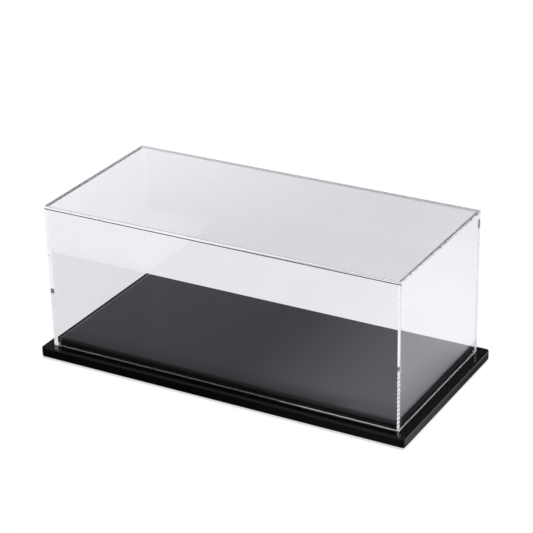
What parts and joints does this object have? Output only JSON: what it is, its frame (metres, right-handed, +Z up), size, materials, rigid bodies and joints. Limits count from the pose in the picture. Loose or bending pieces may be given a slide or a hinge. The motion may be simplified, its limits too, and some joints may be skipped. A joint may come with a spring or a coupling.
{
  "type": "display case",
  "caption": "Clear acrylic cover of cemented sheets that lifts off a two-tier black base with a raised deck and rubber feet, to keep dust off a collectible.",
  "frame": {"origin": "on the surface that the feet stand on, under the middle of the case", "axes": "+X along the case to the right, +Y from the front to the back, +Z up"},
  "size_m": [0.363, 0.178, 0.148],
  "materials": {
    "clear_acrylic": "clear polished cast acrylic sheet",
    "cured_cement": "clear cured acrylic cement with trapped bubbles",
    "gloss_black_plastic": "gloss black moulded ABS",
    "satin_black_plastic": "satin black moulded ABS",
    "screw_steel": "zinc-plated steel",
    "foot_rubber": "matt black rubber"
  },
  "bodies": {
    "base": {"plinth": "gloss_black_plastic", "deck": "satin_black_plastic", "deck_screws": "screw_steel", "foot_front_left": "foot_rubber", "foot_front_right": "foot_rubber", "foot_back_left": "foot_rubber", "foot_back_right": "foot_rubber"},
    "cover": {"top_panel": "clear_acrylic", "front_panel": "clear_acrylic", "back_panel": "clear_acrylic", "left_panel": "clear_acrylic", "right_panel": "clear_acrylic", "top_bond_front": "cured_cement", "top_bond_back": "cured_cement", "top_bond_left": "cured_cement", "top_bond_right": "cured_cement", "corner_bond_front_left": "cured_cement", "corner_bond_front_right": "cured_cement", "corner_bond_back_left": "cured_cement", "corner_bond_back_right": "cured_cement"}
  },
  "joints": [
    {"name": "cover_lift", "type": "slide", "parent": "base", "child": "cover", "axis": [0, 0, 1], "range_m": [0, 0.15]}
  ]
}
